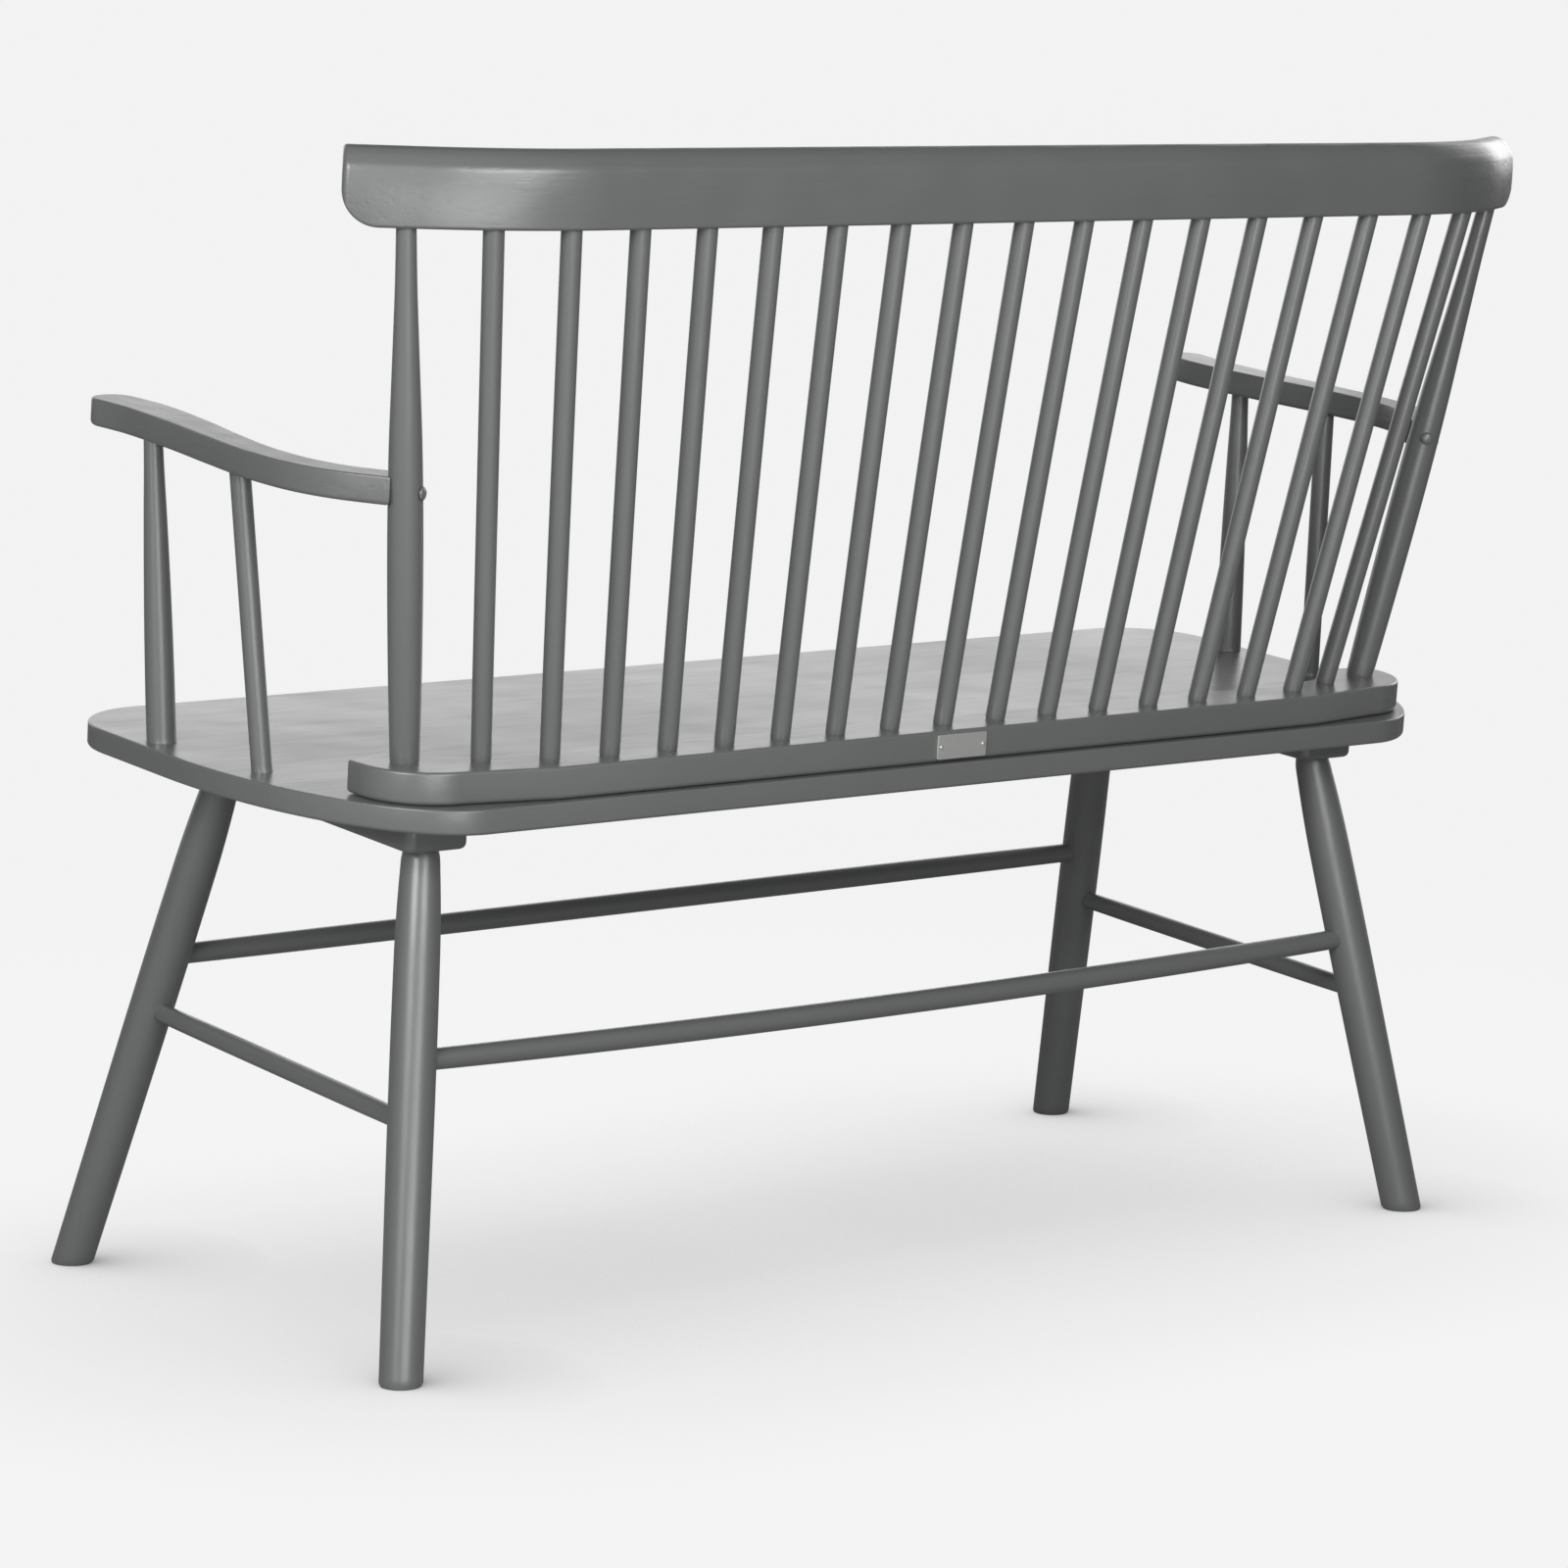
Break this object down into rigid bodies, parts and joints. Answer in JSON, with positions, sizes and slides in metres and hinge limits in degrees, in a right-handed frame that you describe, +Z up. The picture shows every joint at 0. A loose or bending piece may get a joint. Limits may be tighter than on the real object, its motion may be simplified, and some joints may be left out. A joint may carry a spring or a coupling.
{
  "type": "deacons bench",
  "caption": "Painted wooden deacons bench: wide board seat, fan of round back spindles under a bent crest rail, short flat arms, splayed turned legs and round stretchers.",
  "frame": {"origin": "on the floor, under the middle of the bench's bounding box", "axes": "+X towards the sitter's left hand, -Y the way the sitter looks, +Z up"},
  "size_m": [1.1774, 0.6048, 0.9302],
  "materials": {
    "paint": "satin mid-grey paint over hardwood",
    "painted_steel": "satin grey paint",
    "zinc_steel": "zinc plated",
    "plate_metal": "bare, fine brushed"
  },
  "bodies": {
    "root": {"seat_panel": "paint", "spindle_rail": "paint", "crest_rail": "paint", "back_spindle_01": "paint", "back_spindle_02": "paint", "back_spindle_03": "paint", "back_spindle_04": "paint", "back_spindle_05": "paint", "back_spindle_06": "paint", "back_spindle_07": "paint", "back_spindle_08": "paint", "back_spindle_09": "paint", "back_spindle_10": "paint", "back_spindle_11": "paint", "back_spindle_12": "paint", "back_spindle_13": "paint", "back_spindle_14": "paint", "back_spindle_15": "paint", "back_spindle_16": "paint", "back_spindle_17": "paint", "left_end_post": "paint", "right_end_post": "paint", "left_arm": "paint", "right_arm": "paint", "left_front_arm_spindle": "paint", "left_rear_arm_spindle": "paint", "right_front_arm_spindle": "paint", "right_rear_arm_spindle": "paint", "left_cleat": "paint", "right_cleat": "paint", "left_front_leg": "paint", "left_rear_leg": "paint", "right_front_leg": "paint", "right_rear_leg": "paint", "front_stretcher": "paint", "rear_stretcher": "paint", "left_stretcher": "paint", "right_stretcher": "paint", "left_arm_bolt": "painted_steel", "right_arm_bolt": "painted_steel", "left_barrel_nut": "zinc_steel", "right_barrel_nut": "zinc_steel", "left_front_leg_bolt": "zinc_steel", "left_rear_leg_bolt": "zinc_steel", "right_front_leg_bolt": "zinc_steel", "right_rear_leg_bolt": "zinc_steel", "left_cleat_screw_1": "zinc_steel", "left_cleat_screw_2": "zinc_steel", "right_cleat_screw_1": "zinc_steel", "right_cleat_screw_2": "zinc_steel", "rail_screw_1": "zinc_steel", "rail_screw_2": "zinc_steel", "rail_screw_3": "zinc_steel", "rail_screw_4": "zinc_steel", "back_plate": "plate_metal", "back_plate_pin_1": "plate_metal", "back_plate_pin_2": "plate_metal"}
  },
  "joints": []
}
